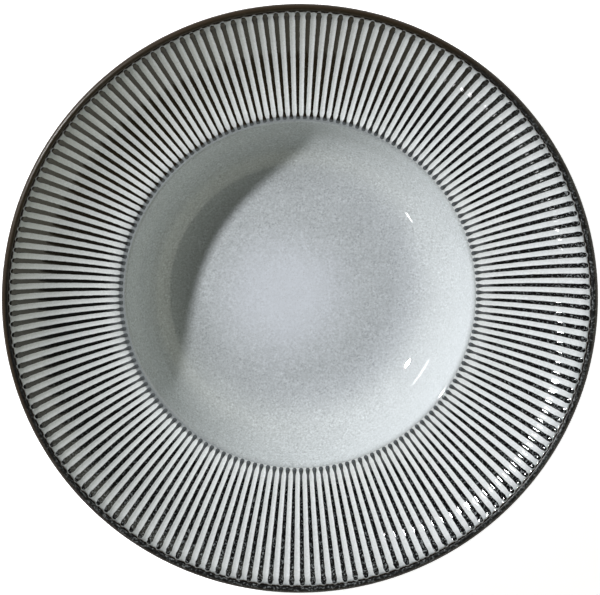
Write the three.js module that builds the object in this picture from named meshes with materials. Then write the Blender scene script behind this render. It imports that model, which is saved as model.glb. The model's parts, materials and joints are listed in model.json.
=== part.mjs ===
// A round stoneware pasta plate: a deep smooth well, a broad rim covered in radial ribs, and a foot ring.
// The fired clay is one body. Four coats of glaze lie on it: one in the well, one on the rim with the ribs
// standing through it, one on the back, and one inside the foot ring, whose standing face is wiped bare.
// Millimetres and degrees, +Z up. The origin is on the table, under the centre of the plate.
import * as THREE from "three";

// Overall form
const plateRadius = 140; // outermost point of the lip
const wellRadius = 83.5; // where the rim starts
const wellDepth = 26; // from the rim's inner edge down to the floor
const floorRadius = 43; // flat part of the floor
const wellWallSlope = 57; // of the straight wall below the well's edge
const edgeRadius = 2.2; // roll of the well's edge
const rimInnerSlope = 1.5; // slope of the rim beside the well
const rimOuterSlope = 36.5; // slope of the rim at the lip

// Clay thickness and foot ring
const floorThickness = 6;
const wallThickness = 5;
const rimThickness = 3.8;
const backFillet = 9; // length of the hollow between the well and the rim, seen from below
const footRadius = 48.5; // middle of the standing face
const footWidth = 4.4; // standing face
const footHeight = 3; // depth of the recess inside the ring
const footRound = 0.9; // rounding of the ring's corners

// Ribs
const ribCount = 168;
const ribHeight = 0.95;
const ribBaseShare = 0.52; // of the pitch
const ribCrestShare = 0.22; // of the pitch
const ribInnerGap = 0.5; // from the well's edge to the ribs
const ribOuterGap = 4; // from the ribs to the outermost point of the lip
const ribEndLength = 1.8; // rounded end

// Glaze
const glazeThickness = 0.45;
const backGlazeThickness = 0.35;
const glazeHem = 0.7; // bare lip starts this far outside the ribs
const backHem = 3; // bare lip on the back
const tongueTip = 0.3; // each tongue of rim glaze starts this far outside the ribs' inner ends
const coatGap = 0.1; // between a coat and the clay
const coatEdge = 0.12; // height of a coat's thin edge above the clay

// Facets
const wellSegments = 42;
const lipSegments = 84;
const bowlSteps = 5;
const edgeSteps = 2;
const lipSteps = 2;
const backSteps = 3;

const degrees = THREE.MathUtils.degToRad;
const lerp = THREE.MathUtils.lerp;
const innerSlope = degrees(rimInnerSlope);
const outerSlope = degrees(rimOuterSlope);
const pitch = (2 * Math.PI) / ribCount;
const lipRadius = rimThickness / 2;

// The face of the plate in section: a flat floor, a hollow arc, a straight wall, a rounded edge and a hollow
// arc out to the lip, each tangent to the next. A station on it has a radius, a height and a slope.
const floorHeight = footHeight + floorThickness;
const rimHeight = floorHeight + wellDepth;
const wellRun = wellRadius - floorRadius + edgeRadius * Math.sin(innerSlope);
const wellRise = wellDepth + edgeRadius * (1 - Math.cos(innerSlope));
const wallSlope = Math.min(degrees(wellWallSlope), 2 * Math.atan2(wellRise, wellRun));
const wallCosine = Math.cos(wallSlope);
const bowlRadius =
  (wellRun * Math.sin(wallSlope) - wellRise * wallCosine) / (1 - wallCosine) - edgeRadius;
const rimEnd = plateRadius - lipRadius * (1 + Math.sin(outerSlope));
const rimRadius = (rimEnd - wellRadius) / (Math.sin(outerSlope) - Math.sin(innerSlope));

const bowlCentre = { r: floorRadius, z: floorHeight + bowlRadius };
const edgeCentre = {
  r: wellRadius + edgeRadius * Math.sin(innerSlope),
  z: rimHeight - edgeRadius * Math.cos(innerSlope),
};
const rimCentre = {
  r: wellRadius - rimRadius * Math.sin(innerSlope),
  z: rimHeight + rimRadius * Math.cos(innerSlope),
};

// A point of an arc where it has the given slope. A hollow arc lies below its centre.
function onArc(centre, radius, slope) {
  return {
    r: centre.r + radius * Math.sin(slope),
    z: centre.z - radius * Math.cos(slope),
    slope,
  };
}

// Stations along an arc from one slope to another, without the first.
function arc(centre, radius, from, to, steps) {
  return Array.from({ length: steps }, (_, i) => onArc(centre, radius, lerp(from, to, (i + 1) / steps)));
}

function rimAt(radius) {
  return onArc(rimCentre, rimRadius, Math.asin((radius - rimCentre.r) / rimRadius));
}

// A station moved off the surface, along the normal that points up and in.
function lifted(station, distance) {
  return {
    r: station.r - distance * Math.sin(station.slope),
    z: station.z + distance * Math.cos(station.slope),
    slope: station.slope,
  };
}

const centre = { r: 0, z: floorHeight, slope: 0 };
const floorEdge = { r: floorRadius, z: floorHeight, slope: 0 };
const wellFace = [
  centre,
  floorEdge,
  ...arc(bowlCentre, bowlRadius, 0, wallSlope, bowlSteps),
  onArc(edgeCentre, -edgeRadius, wallSlope),
  ...arc(edgeCentre, -edgeRadius, wallSlope, innerSlope, edgeSteps),
];

// Rib stations, from the well outwards: a tip, a shoulder, the middle, a shoulder and a tip.
const ribInner = wellRadius + ribInnerGap;
const ribOuter = plateRadius - ribOuterGap;
const ribTips = [rimAt(ribInner), rimAt(ribOuter)];
const ribStations = [
  rimAt(ribInner + ribEndLength),
  rimAt((ribInner + ribOuter) / 2),
  rimAt(ribOuter - ribEndLength),
];
const hem = rimAt(ribOuter + glazeHem);

// The lip is a half round from the face over its top and its outermost point to the back.
const lipCentre = lifted(onArc(rimCentre, rimRadius, outerSlope), -lipRadius);
const lip = [
  onArc(lipCentre, lipRadius, Math.PI + outerSlope),
  onArc(lipCentre, lipRadius, Math.PI),
  ...arc(lipCentre, lipRadius, Math.PI, Math.PI / 2, lipSteps),
  ...arc(lipCentre, lipRadius, Math.PI / 2, outerSlope, lipSteps),
];

// The back follows the face at the clay's thickness, with a hollow fillet between the well and the rim.
const rimBackRadius = rimRadius + rimThickness;
const bowlBackRadius = bowlRadius + wallThickness;
const filletOuter = onArc(rimCentre, rimBackRadius, innerSlope + backFillet / rimBackRadius);
const filletInner = onArc(bowlCentre, bowlBackRadius, wallSlope - backFillet / bowlBackRadius);
const footInner = footRadius - footWidth / 2;
const footOuter = footRadius + footWidth / 2;
const footTopSlope = Math.asin((footOuter + footRound - floorRadius) / bowlBackRadius);

function fillet(from, to, steps) {
  const across = (to.r - from.r) * Math.sin(to.slope) - (to.z - from.z) * Math.cos(to.slope);
  const along = across / Math.sin(to.slope - from.slope);
  const corner = new THREE.Vector2(
    from.r + along * Math.cos(from.slope),
    from.z + along * Math.sin(from.slope),
  );
  const curve = new THREE.QuadraticBezierCurve(
    new THREE.Vector2(from.r, from.z),
    corner,
    new THREE.Vector2(to.r, to.z),
  );
  return Array.from({ length: steps - 1 }, (_, i) => {
    const share = (i + 1) / steps;
    const point = curve.getPoint(share);
    return { r: point.x, z: point.y, slope: lerp(from.slope, to.slope, share) };
  });
}

const backStart = onArc(rimCentre, rimBackRadius, outerSlope - backHem / rimBackRadius);
const rimBack = [
  backStart,
  ...arc(rimCentre, rimBackRadius, backStart.slope, filletOuter.slope, backSteps),
];
const bowlBack = arc(bowlCentre, bowlBackRadius, filletInner.slope, footTopSlope, backSteps);
const wellBack = [...fillet(filletOuter, filletInner, 2), filletInner, ...bowlBack];

// The foot ring and the recess inside it.
const recessRadius = footInner - footRound;
const foot = [
  { r: footOuter + footRound, z: footRound },
  { r: footOuter, z: 0 },
  { r: footInner, z: 0 },
  { r: recessRadius, z: footRound },
  { r: recessRadius, z: footHeight - footRound },
  { r: recessRadius - footRound, z: footHeight, slope: 0 },
];
const recessCentre = { r: 0, z: footHeight, slope: 0 };

function pointAt(station, angle) {
  return new THREE.Vector3(station.r * Math.cos(angle), station.r * Math.sin(angle), station.z);
}

// A closed ring of points round the axis, each with its angle. On the axis it is a single point.
function plainRing(station, segments) {
  const count = station.r === 0 ? 1 : segments;
  return Array.from({ length: count }, (_, i) => {
    const angle = (i / count) * 2 * Math.PI;
    return { angle, point: pointAt(station, angle) };
  });
}

// A ring that rises over every rib: base, crest, crest, base.
function ribbedRing(station) {
  const crest = lifted(station, ribHeight);
  const base = (ribBaseShare / 2) * pitch;
  const top = (ribCrestShare / 2) * pitch;
  const section = [
    [station, -base],
    [crest, -top],
    [crest, top],
    [station, base],
  ];
  return Array.from({ length: ribCount }, (_, k) =>
    section.map(([at, offset]) => {
      const angle = k * pitch + offset;
      return { angle, point: pointAt(at, angle) };
    }),
  ).flat();
}

// The triangles between two rings, which may have different counts. Each step takes the shorter diagonal.
function stitch(a, b, triangles) {
  const at = (ring, i) => ring[i % ring.length].angle + 2 * Math.PI * Math.floor(i / ring.length);
  const lastA = a.length > 1 ? a.length : 0;
  const lastB = b.length > 1 ? b.length : 0;
  let i = 0;
  let j = 0;
  while (i < lastA || j < lastB) {
    const stepA = i < lastA ? Math.abs(at(a, i + 1) - at(b, j)) : Infinity;
    const stepB = j < lastB ? Math.abs(at(b, j + 1) - at(a, i)) : Infinity;
    const here = a[i % a.length].point;
    const there = b[j % b.length].point;
    if (lastA && (!lastB || stepA <= stepB)) {
      triangles.push(here, there, a[(i + 1) % a.length].point);
      i += 1;
    } else {
      triangles.push(here, there, b[(j + 1) % b.length].point);
      j += 1;
    }
  }
}

// The two triangles of a four-sided face, or one where two of its corners are the same point.
function fourSided([a, b, c, d], triangles) {
  if (b !== c) {
    triangles.push(a, b, c);
  }
  if (a !== d) {
    triangles.push(a, c, d);
  }
}

function geometryOf(triangles) {
  const geometry = new THREE.BufferGeometry().setFromPoints(triangles);
  geometry.computeVertexNormals();
  return geometry;
}

// The clay: rings from the middle of the floor out over the rim, round the lip and back below to the middle.
function bodyGeometry() {
  const rings = [
    ...wellFace.map((station) => plainRing(station, wellSegments)),
    plainRing(ribTips[0], ribCount),
    ...ribStations.map(ribbedRing),
    plainRing(ribTips[1], ribCount),
    plainRing(hem, lipSegments),
    ...lip.map((station) => plainRing(station, lipSegments)),
    ...[...rimBack, ...wellBack, ...foot, recessCentre].map((station) => plainRing(station, wellSegments)),
  ];
  const triangles = [];
  for (let i = 1; i < rings.length; i += 1) {
    stitch(rings[i - 1], rings[i], triangles);
  }
  return geometryOf(triangles);
}

// A coat over a run of stations, turned round the axis. It thins to an edge at each end that is off the axis.
function coatGeometry(stations, thickness, segments, side) {
  const last = stations.length - 1;
  const bare = (station, i) => station.r > 0 && (i === 0 || i === last);
  const under = stations.map((station, i) => lifted(station, side * (bare(station, i) ? coatEdge : coatGap)));
  const over = stations.map((station) => lifted(station, side * (coatGap + thickness)));
  const outline = [...under, ...over.filter((_, i) => !bare(stations[i], i)).reverse()];
  if (stations[0].r > 0) {
    outline.push(under[0]);
  }
  const profile = outline.map(({ r, z }) => new THREE.Vector2(r, z));
  if (side < 0) {
    profile.reverse();
  }
  const geometry = new THREE.LatheGeometry(profile, segments, Math.PI / 2);
  return geometry.rotateX(Math.PI / 2);
}

// The rim's coat is a comb. Its tongues lie in the flutes, from a point beside the well to the ribs' outer
// ends, where a ring joins them and thins out towards the lip.
function rimGlazeGeometry() {
  const baseHalf = (ribBaseShare / 2) * pitch;
  const crestHalf = (ribCrestShare / 2) * pitch;
  const top = coatGap + glazeThickness;
  const tipStation = rimAt(ribInner + tongueTip);
  const triangles = [];

  // Corners of one level of the coat. A rib is narrower higher up, so the tongues are wider there.
  const level = (height) => {
    const half = lerp(baseHalf, crestHalf, height / ribHeight);
    const corner = (station, angle, side) =>
      pointAt(lifted(station, height), angle + side * (half + coatGap / station.r));
    return {
      left: (k) => ribStations.map((station) => corner(station, k * pitch, 1)),
      right: (k) => ribStations.map((station) => corner(station, (k + 1) * pitch, -1)),
      end: (k) => pointAt(lifted(rimAt(ribOuter + coatGap), height), k * pitch),
    };
  };
  const low = level(coatGap);
  const high = level(top);

  for (let k = 0; k < ribCount; k += 1) {
    const tip = pointAt(lifted(tipStation, coatEdge), (k + 0.5) * pitch);
    const lowLeft = [tip, ...low.left(k), low.end(k)];
    const lowRight = [tip, ...low.right(k), low.end(k + 1)];
    const highLeft = [tip, ...high.left(k), high.end(k)];
    const highRight = [tip, ...high.right(k), high.end(k + 1)];
    for (let i = 1; i < lowLeft.length; i += 1) {
      fourSided([highLeft[i - 1], highLeft[i], highRight[i], highRight[i - 1]], triangles);
      fourSided([lowLeft[i], lowLeft[i - 1], lowRight[i - 1], lowRight[i]], triangles);
      fourSided([lowLeft[i - 1], lowLeft[i], highLeft[i], highLeft[i - 1]], triangles);
      fourSided([lowRight[i], lowRight[i - 1], highRight[i - 1], highRight[i]], triangles);
    }
  }

  const ends = (one) =>
    Array.from({ length: ribCount }, (_, k) => ({ angle: k * pitch, point: one.end(k) }));
  const rim = plainRing(lifted(hem, coatEdge), lipSegments);
  stitch(ends(high), rim, triangles);
  stitch(rim, ends(low), triangles);
  return geometryOf(triangles);
}

const clay = new THREE.MeshStandardMaterial({ color: 0x2a2521, roughness: 0.35 });
const paleGlaze = new THREE.MeshStandardMaterial({ color: 0xd3d8da, roughness: 0.15 });

function piece(name, geometry, material) {
  const mesh = new THREE.Mesh(geometry, material);
  mesh.name = name;
  return mesh;
}

const recessFace = [recessCentre, foot[foot.length - 1]];
const backFace = [...rimBack, ...wellBack].reverse();

const plate = new THREE.Group();
plate.name = "pasta_plate";
plate.add(
  piece("stoneware_body", bodyGeometry(), clay),
  piece("well_glaze", coatGeometry(wellFace, glazeThickness, wellSegments, 1), paleGlaze),
  piece("rim_glaze", rimGlazeGeometry(), paleGlaze),
  piece("back_glaze", coatGeometry(backFace, backGlazeThickness, wellSegments, -1), paleGlaze),
  piece("foot_recess_glaze", coatGeometry(recessFace, backGlazeThickness, wellSegments, -1), paleGlaze),
);

export default plate;
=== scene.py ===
"""A round stoneware pasta plate with a ribbed rim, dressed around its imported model. Metres, +Z up.

The clay is one dark body. Its section is drawn from the middle of the floor to the lip and back below, and
one rib is modelled and copied round the rim. Coats of pale glaze lie on the clay: a bowl in the well, a comb
between the ribs, a skirt on the back and a disc inside the foot ring.
"""

import json
import math
from functools import reduce
from typing import NamedTuple

import bmesh
import bpy
from bpy.props import FloatProperty, FloatVectorProperty, IntProperty, PointerProperty
from mathutils import Matrix, Vector

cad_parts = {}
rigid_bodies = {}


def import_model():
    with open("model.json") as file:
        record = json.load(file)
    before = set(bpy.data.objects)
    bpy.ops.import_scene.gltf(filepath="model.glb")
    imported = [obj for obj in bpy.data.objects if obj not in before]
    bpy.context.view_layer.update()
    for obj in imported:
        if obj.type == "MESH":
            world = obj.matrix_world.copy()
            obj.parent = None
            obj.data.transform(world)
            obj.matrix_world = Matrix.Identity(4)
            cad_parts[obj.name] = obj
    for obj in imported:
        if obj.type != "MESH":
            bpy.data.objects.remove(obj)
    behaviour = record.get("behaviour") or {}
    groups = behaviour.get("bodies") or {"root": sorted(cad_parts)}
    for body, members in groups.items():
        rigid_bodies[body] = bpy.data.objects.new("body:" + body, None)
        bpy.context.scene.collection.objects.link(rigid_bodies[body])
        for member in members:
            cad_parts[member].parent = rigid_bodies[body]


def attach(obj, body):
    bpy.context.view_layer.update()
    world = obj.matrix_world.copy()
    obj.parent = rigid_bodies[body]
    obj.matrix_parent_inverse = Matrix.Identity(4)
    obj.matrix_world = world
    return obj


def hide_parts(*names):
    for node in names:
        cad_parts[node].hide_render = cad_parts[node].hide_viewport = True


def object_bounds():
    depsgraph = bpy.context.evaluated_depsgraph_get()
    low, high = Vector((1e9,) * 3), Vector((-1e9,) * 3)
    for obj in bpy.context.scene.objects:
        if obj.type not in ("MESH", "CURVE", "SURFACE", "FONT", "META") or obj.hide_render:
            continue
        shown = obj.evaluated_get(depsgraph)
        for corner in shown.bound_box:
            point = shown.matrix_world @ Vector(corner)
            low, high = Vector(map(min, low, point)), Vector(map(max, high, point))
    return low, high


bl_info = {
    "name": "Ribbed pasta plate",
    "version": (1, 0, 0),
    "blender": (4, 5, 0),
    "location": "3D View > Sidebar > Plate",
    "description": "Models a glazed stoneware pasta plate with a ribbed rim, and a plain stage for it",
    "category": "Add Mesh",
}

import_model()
cad_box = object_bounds()

MM = 0.001
ORIGIN = (0.0, 0.0, 0.0)
PLATE_AXIS = (0.0, 0.0, 1.0)
FULL_TURN = 2 * math.pi
MERGE_DISTANCE = 0.01 * MM
SEED_SIZE = 1 * MM
SMOOTH_ANGLE = math.radians(40)
COAT_OVERLAP = 0.05 * MM  # how far a coat reaches into the clay


def length(name, description, default):
    """A size in metres."""
    return FloatProperty(
        name=name, description=description, default=default, min=0.0, precision=5,
        subtype="DISTANCE", unit="LENGTH",
    )


def angle(name, description, degrees):
    """An angle, given in degrees and kept in radians."""
    return FloatProperty(
        name=name, description=description, default=math.radians(degrees), subtype="ANGLE", unit="ROTATION"
    )


def colour(name, description, default):
    """A linear colour."""
    return FloatVectorProperty(
        name=name, description=description, default=default, min=0.0, max=1.0, subtype="COLOR"
    )


class PlateSizes(bpy.types.PropertyGroup):
    """Sizes of the clay and its glaze."""

    plate_radius: length("Plate radius", "From the axis to the outermost point of the lip", cad_box[1].x)
    well_radius: length("Well radius", "Where the rim starts", 83.5 * MM)
    well_depth: length("Well depth", "From the rim's inner edge down to the floor", 26 * MM)
    floor_radius: length("Floor radius", "Flat part of the well", 43 * MM)
    wall_slope: angle("Wall slope", "Slope of the straight wall below the well's edge", 57)
    edge_radius: length("Edge radius", "Roll of the well's edge", 2.2 * MM)
    rim_inner_slope: angle("Rim inner slope", "Slope of the rim beside the well", 1.5)
    rim_outer_slope: angle("Rim outer slope", "Slope of the rim at the lip", 36.5)
    floor_thickness: length("Floor thickness", "Clay under the well", 6 * MM)
    wall_thickness: length("Wall thickness", "Clay of the well's wall", 5 * MM)
    rim_thickness: length("Rim thickness", "Clay of the rim, and the lip's width", 3.8 * MM)
    back_fillet: length("Back fillet", "Hollow between the well and the rim, seen from below", 9 * MM)
    foot_radius: length("Foot radius", "Middle of the standing face", 48.5 * MM)
    foot_width: length("Foot width", "Standing face of the foot ring", 4.4 * MM)
    foot_height: length("Foot height", "Depth of the recess inside the foot ring", 3 * MM)
    foot_round: length("Foot rounding", "Rounding of the foot ring's corners", 0.9 * MM)
    rib_count: IntProperty(name="Ribs", description="Ribs round the rim", default=168, min=12)
    rib_height: length("Rib height", "From the clay beside a rib to its crest, at its outer end", 0.7 * MM)
    rib_overlap: length("Rib overlap", "How far the ribs' inner ends reach over the well's edge", 0.4 * MM)
    neck_length: length("Neck length", "From a rib's inner end to where it starts to widen", 2.9 * MM)
    rib_outer_gap: length("Rib outer gap", "From the ribs to the outermost point of the lip", 3.7 * MM)
    glaze_thickness: length("Glaze thickness", "Pale glaze in the well", 0.45 * MM)
    flute_glaze: length("Flute glaze", "Pale glaze in the middle of a flute", 0.34 * MM)
    flute_rise: length("Flute rise", "How much higher the glaze stands by a rib, at its outer end", 0.22 * MM)
    back_glaze_thickness: length("Back glaze thickness", "Glaze on the underside", 0.35 * MM)
    glaze_hem: length("Glaze hem", "Glaze outside the ribs' ends, before the bare lip", 0.7 * MM)
    back_hem: length("Back hem", "Bare clay between the lip and the glaze on the back", 3 * MM)


class PlateColours(bpy.types.PropertyGroup):
    """Colours of the clay and its glaze."""

    flute_glaze: colour("Flute glaze", "Thick pale glaze between ribs, by the well", (0.714, 0.761, 0.769))
    flute_end: colour("Flute end", "Thinner pale glaze between the ribs, by the lip", (0.54, 0.576, 0.582))
    well_pool: colour("Well pool", "Glaze that pooled in the middle of the well", (0.55, 0.596, 0.645))
    well_glaze: colour("Well glaze", "Glaze on the floor of the well", (0.42, 0.459, 0.478))
    well_wall: colour("Well wall", "Glaze on the wall of the well", (0.49, 0.535, 0.545))
    glaze_speck: colour("Glaze speck", "Iron specks in the glaze", (0.20, 0.20, 0.18))
    hem_glaze: colour("Hem glaze", "Glaze round the ribs' outer ends", (0.21, 0.235, 0.24))
    thin_glaze: colour("Thin glaze", "Where the glaze breaks over an edge", (0.05, 0.041, 0.032))
    # This colour also paints shade on the well's edge and on the rim beside it, towards the key lamp.
    edge_film_and_shade: colour("Edge film", "Glaze that ran thin over the well's edge", (0.13, 0.15, 0.16))
    dark_film: colour("Dark film", "Thin glaze on the ribs and the lip", (0.004, 0.0042, 0.0042))
    warm_film: colour("Warm film", "Thinner glaze on the ribs towards +Y", (0.016, 0.012, 0.006))
    neck_film: colour("Neck film", "Thicker glaze on the ribs where they are thinnest", (0.095, 0.105, 0.11))
    # This grey also paints the key lamp's sheen on the film, where the rim faces the lamp.
    film_speck_and_sheen: colour("Film speck", "Flecks of thicker glaze on the ribs and the lip", (0.20, 0.22, 0.225))
    brown_film: colour("Brown film", "The thinnest glaze, on the outside of the lip", (0.027, 0.0185, 0.0105))
    bare_clay: colour("Bare clay", "Unglazed foot ring", (0.13, 0.095, 0.07))
    stage_floor: colour("Stage floor", "The floor under the plate", (0.86, 0.86, 0.86))


# The plate's section


class Station(NamedTuple):
    """A point of the section: its distance from the axis, its height and the surface's slope there."""

    radius: float
    height: float
    slope: float

    def lifted(self, distance):
        """This station moved off the surface, along the normal that points up and in."""
        return Station(
            self.radius - distance * math.sin(self.slope),
            self.height + distance * math.cos(self.slope),
            self.slope,
        )

    def point(self, azimuth=0.0):
        """Where this station is on the plate."""
        return Vector((self.radius * math.cos(azimuth), self.radius * math.sin(azimuth), self.height))

    def normal(self):
        """The surface's normal on the +X side of the plate."""
        return Vector((-math.sin(self.slope), 0.0, math.cos(self.slope)))


class Arc(NamedTuple):
    """A round stretch of the section: hollow, below its centre, or raised, with a negative radius."""

    centre_radius: float
    centre_height: float
    radius: float

    def at_slope(self, slope):
        """The station where the arc has this slope."""
        return Station(
            self.centre_radius + self.radius * math.sin(slope),
            self.centre_height - self.radius * math.cos(slope),
            slope,
        )

    def at_radius(self, radius):
        """The station at this distance from the plate's axis."""
        return self.at_slope(math.asin((radius - self.centre_radius) / self.radius))

    def between(self, start, end, steps):
        """Stations from one slope to another, both among them."""
        return [self.at_slope(start + (end - start) * i / steps) for i in range(steps + 1)]


class Section:
    """The plate cut through its axis: floor, bowl, straight wall, rounded edge, rim and round lip."""

    def __init__(self, sizes):
        self.sizes = sizes
        inner = sizes.rim_inner_slope
        outer = sizes.rim_outer_slope
        self.floor_height = sizes.foot_height + sizes.floor_thickness
        self.rim_height = self.floor_height + sizes.well_depth
        run = sizes.well_radius - sizes.floor_radius + sizes.edge_radius * math.sin(inner)
        rise = sizes.well_depth + sizes.edge_radius * (1 - math.cos(inner))
        self.wall_slope = min(sizes.wall_slope, 2 * math.atan2(rise, run))
        sine = math.sin(self.wall_slope)
        cosine = math.cos(self.wall_slope)
        bowl_radius = (run * sine - rise * cosine) / (1 - cosine) - sizes.edge_radius
        rim_end = sizes.plate_radius - sizes.rim_thickness / 2 * (1 + math.sin(outer))
        rim_radius = (rim_end - sizes.well_radius) / (math.sin(outer) - math.sin(inner))

        self.bowl = Arc(sizes.floor_radius, self.floor_height + bowl_radius, bowl_radius)
        self.edge = Arc(
            sizes.well_radius + sizes.edge_radius * math.sin(inner),
            self.rim_height - sizes.edge_radius * math.cos(inner),
            -sizes.edge_radius,
        )
        self.rim = Arc(
            sizes.well_radius - rim_radius * math.sin(inner),
            self.rim_height + rim_radius * math.cos(inner),
            rim_radius,
        )
        lip_middle = self.rim.at_slope(outer).lifted(-sizes.rim_thickness / 2)
        self.lip = Arc(lip_middle.radius, lip_middle.height, sizes.rim_thickness / 2)
        self.rim_back = self.rim._replace(radius=rim_radius + sizes.rim_thickness)
        self.bowl_back = self.bowl._replace(radius=bowl_radius + sizes.wall_thickness)
        self.rib_inner = sizes.well_radius - sizes.rib_overlap
        self.neck = self.rib_inner + sizes.neck_length
        self.rib_outer = sizes.plate_radius - sizes.rib_outer_gap
        self.hem_radius = self.rib_outer + sizes.glaze_hem

    def floor(self):
        """The middle of the well's floor."""
        return Station(0.0, self.floor_height, 0.0)

    def well_face(self, bowl_steps, edge_steps, edge_end):
        """From the middle of the floor up the bowl and the wall and over the edge, to a given slope."""
        return [
            self.floor(),
            *self.bowl.between(0.0, self.wall_slope, bowl_steps),
            *self.edge.between(self.wall_slope, edge_end, edge_steps),
        ]

    def face_at(self, radius):
        """The station of the rim, or of the well's rounded edge, at this distance from the axis."""
        arc = self.rim if radius >= self.sizes.well_radius else self.edge
        return arc.at_radius(radius)

    def lip_round(self, steps):
        """Round the lip from the face to the back."""
        outer = self.sizes.rim_outer_slope
        return self.lip.between(math.pi + outer, outer, steps)

    def back_start(self):
        """Where the glaze on the back starts, below the lip."""
        slope = self.sizes.rim_outer_slope - self.sizes.back_hem / self.rim_back.radius
        return self.rim_back.at_slope(slope)

    def back_face(self, steps):
        """From below the lip in under the rim, through the hollow fillet and down to the foot ring."""
        sizes = self.sizes
        start = self.back_start()
        fillet_outer = self.rim_back.at_slope(
            sizes.rim_inner_slope + sizes.back_fillet / self.rim_back.radius
        )
        fillet_inner = self.bowl_back.at_slope(self.wall_slope - sizes.back_fillet / self.bowl_back.radius)
        foot_top = self.bowl_back.at_radius(sizes.foot_radius + sizes.foot_width / 2 + sizes.foot_round)
        return [
            *self.rim_back.between(start.slope, fillet_outer.slope, steps),
            *fillet_between(fillet_outer, fillet_inner, steps)[1:-1],
            *self.bowl_back.between(fillet_inner.slope, foot_top.slope, steps),
        ]

    def recess(self):
        """The ceiling of the recess, from the foot ring's rounded corner to the axis."""
        sizes = self.sizes
        edge = sizes.foot_radius - sizes.foot_width / 2 - 2 * sizes.foot_round
        return [Station(edge, sizes.foot_height, 0.0), Station(0.0, sizes.foot_height, 0.0)]

    def foot(self, steps):
        """Round the foot ring, from its outer side under the standing face to the recess."""
        sizes = self.sizes
        radius = sizes.foot_round
        outer = sizes.foot_radius + sizes.foot_width / 2
        inner = sizes.foot_radius - sizes.foot_width / 2
        quarter = math.pi / 2
        return [
            *Arc(outer, radius, radius).between(quarter, 0.0, steps),
            *Arc(inner, radius, radius).between(0.0, -quarter, steps),
            *Arc(inner - 2 * radius, sizes.foot_height - radius, -radius).between(-quarter, 0.0, steps),
        ]


def fillet_between(start, end, steps):
    """Stations of a curve that leaves one station and reaches another along their slopes."""
    run = end.radius - start.radius
    rise = end.height - start.height
    along = (run * math.sin(end.slope) - rise * math.cos(end.slope)) / math.sin(end.slope - start.slope)
    first = Vector((start.radius, start.height))
    last = Vector((end.radius, end.height))
    corner = first + along * Vector((math.cos(start.slope), math.sin(start.slope)))
    stations = []
    for i in range(steps + 1):
        t = i / steps
        place = first.lerp(corner, t).lerp(corner.lerp(last, t), t)
        stations.append(Station(place.x, place.y, start.slope + (end.slope - start.slope) * t))
    return stations


# Modelling tools


def start_piece(name):
    """A new mesh object at the origin, in edit mode, whose mesh is one vertex."""
    bpy.ops.object.select_all(action="DESELECT")
    bpy.ops.mesh.primitive_plane_add(size=SEED_SIZE)
    piece = bpy.context.object
    piece.name = name
    piece.data.name = name
    bpy.ops.object.mode_set(mode="EDIT")
    bpy.ops.mesh.select_mode(type="VERT")
    bpy.ops.mesh.select_all(action="SELECT")
    bpy.ops.mesh.merge(type="CENTER")
    return piece


def start_line():
    """A loose vertex beside what the mesh in edit mode already holds."""
    bpy.ops.mesh.select_all(action="DESELECT")
    bpy.ops.mesh.primitive_plane_add(size=SEED_SIZE)
    bpy.ops.mesh.merge(type="CENTER")


def draw_line(points):
    """Moves the selected vertex to the first point, extrudes it along the rest and selects the whole line."""
    bpy.ops.transform.translate(value=points[0])
    for here, there in zip(points, points[1:]):
        bpy.ops.mesh.extrude_region_move(TRANSFORM_OT_translate={"value": there - here})
    bpy.ops.mesh.select_linked()


def turn_line(turn, steps):
    """Spins the selected line about the plate's axis, from +X towards +Y. Spin itself goes the other way."""
    bpy.ops.mesh.spin(steps=steps, angle=-turn, center=ORIGIN, axis=PLATE_AXIS)


def turn_section(stations, steps):
    """Draws a section from the selected vertex and spins it right round."""
    draw_line([station.point() for station in stations])
    turn_line(FULL_TURN, steps)


def copy_round(count):
    """Copies the whole mesh round the plate's axis and merges the seams."""
    bpy.ops.mesh.select_all(action="SELECT")
    turn = FULL_TURN * (count - 1) / count
    bpy.ops.mesh.spin(steps=count - 1, angle=turn, dupli=True, center=ORIGIN, axis=PLATE_AXIS)
    merge_seams()


def merge_seams():
    """Merges the doubles of the whole mesh and turns its faces outwards."""
    bpy.ops.mesh.select_all(action="SELECT")
    bpy.ops.mesh.remove_doubles(threshold=MERGE_DISTANCE)
    bpy.ops.mesh.normals_make_consistent(inside=False)


def select_where(piece, test):
    """Selects the vertices of the mesh in edit mode whose place passes the test."""
    mesh = bmesh.from_edit_mesh(piece.data)
    for vertex in mesh.verts:
        vertex.select_set(test(vertex.co))
    mesh.select_flush(True)
    bmesh.update_edit_mesh(piece.data)


def azimuth_of(place):
    """The angle of a place round the plate's axis, from +X."""
    return math.atan2(place.y, place.x)


def near(value, target, tolerance=MERGE_DISTANCE):
    """Whether two lengths are the same."""
    return abs(value - target) < tolerance


def finish_piece(piece, material, node):
    """Leaves edit mode, shades the piece and ties it to the frame."""
    bpy.ops.object.mode_set(mode="OBJECT")
    bpy.ops.object.shade_smooth_by_angle(angle=SMOOTH_ANGLE)
    piece.data.materials.clear()
    piece.data.materials.append(material)
    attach(piece, "root")
    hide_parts(node)


# Shader node tools


def feed(tree, node, inputs):
    """Links each input of a node to another node's output, or sets it to a value."""
    for key, value in inputs.items():
        if isinstance(value, bpy.types.NodeSocket):
            tree.links.new(value, node.inputs[key])
        else:
            node.inputs[key].default_value = value


def add_node(tree, kind, inputs=None, **settings):
    """A new node with its settings and its inputs."""
    node = tree.nodes.new(kind)
    for name, value in settings.items():
        setattr(node, name, value)
    feed(tree, node, inputs or {})
    return node


def calculate(tree, operation, *values):
    """A Math node's result."""
    return add_node(tree, "ShaderNodeMath", dict(enumerate(values)), operation=operation).outputs[0]


def product(tree, *values):
    """Values multiplied together."""
    return reduce(lambda first, second: calculate(tree, "MULTIPLY", first, second), values)


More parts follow.
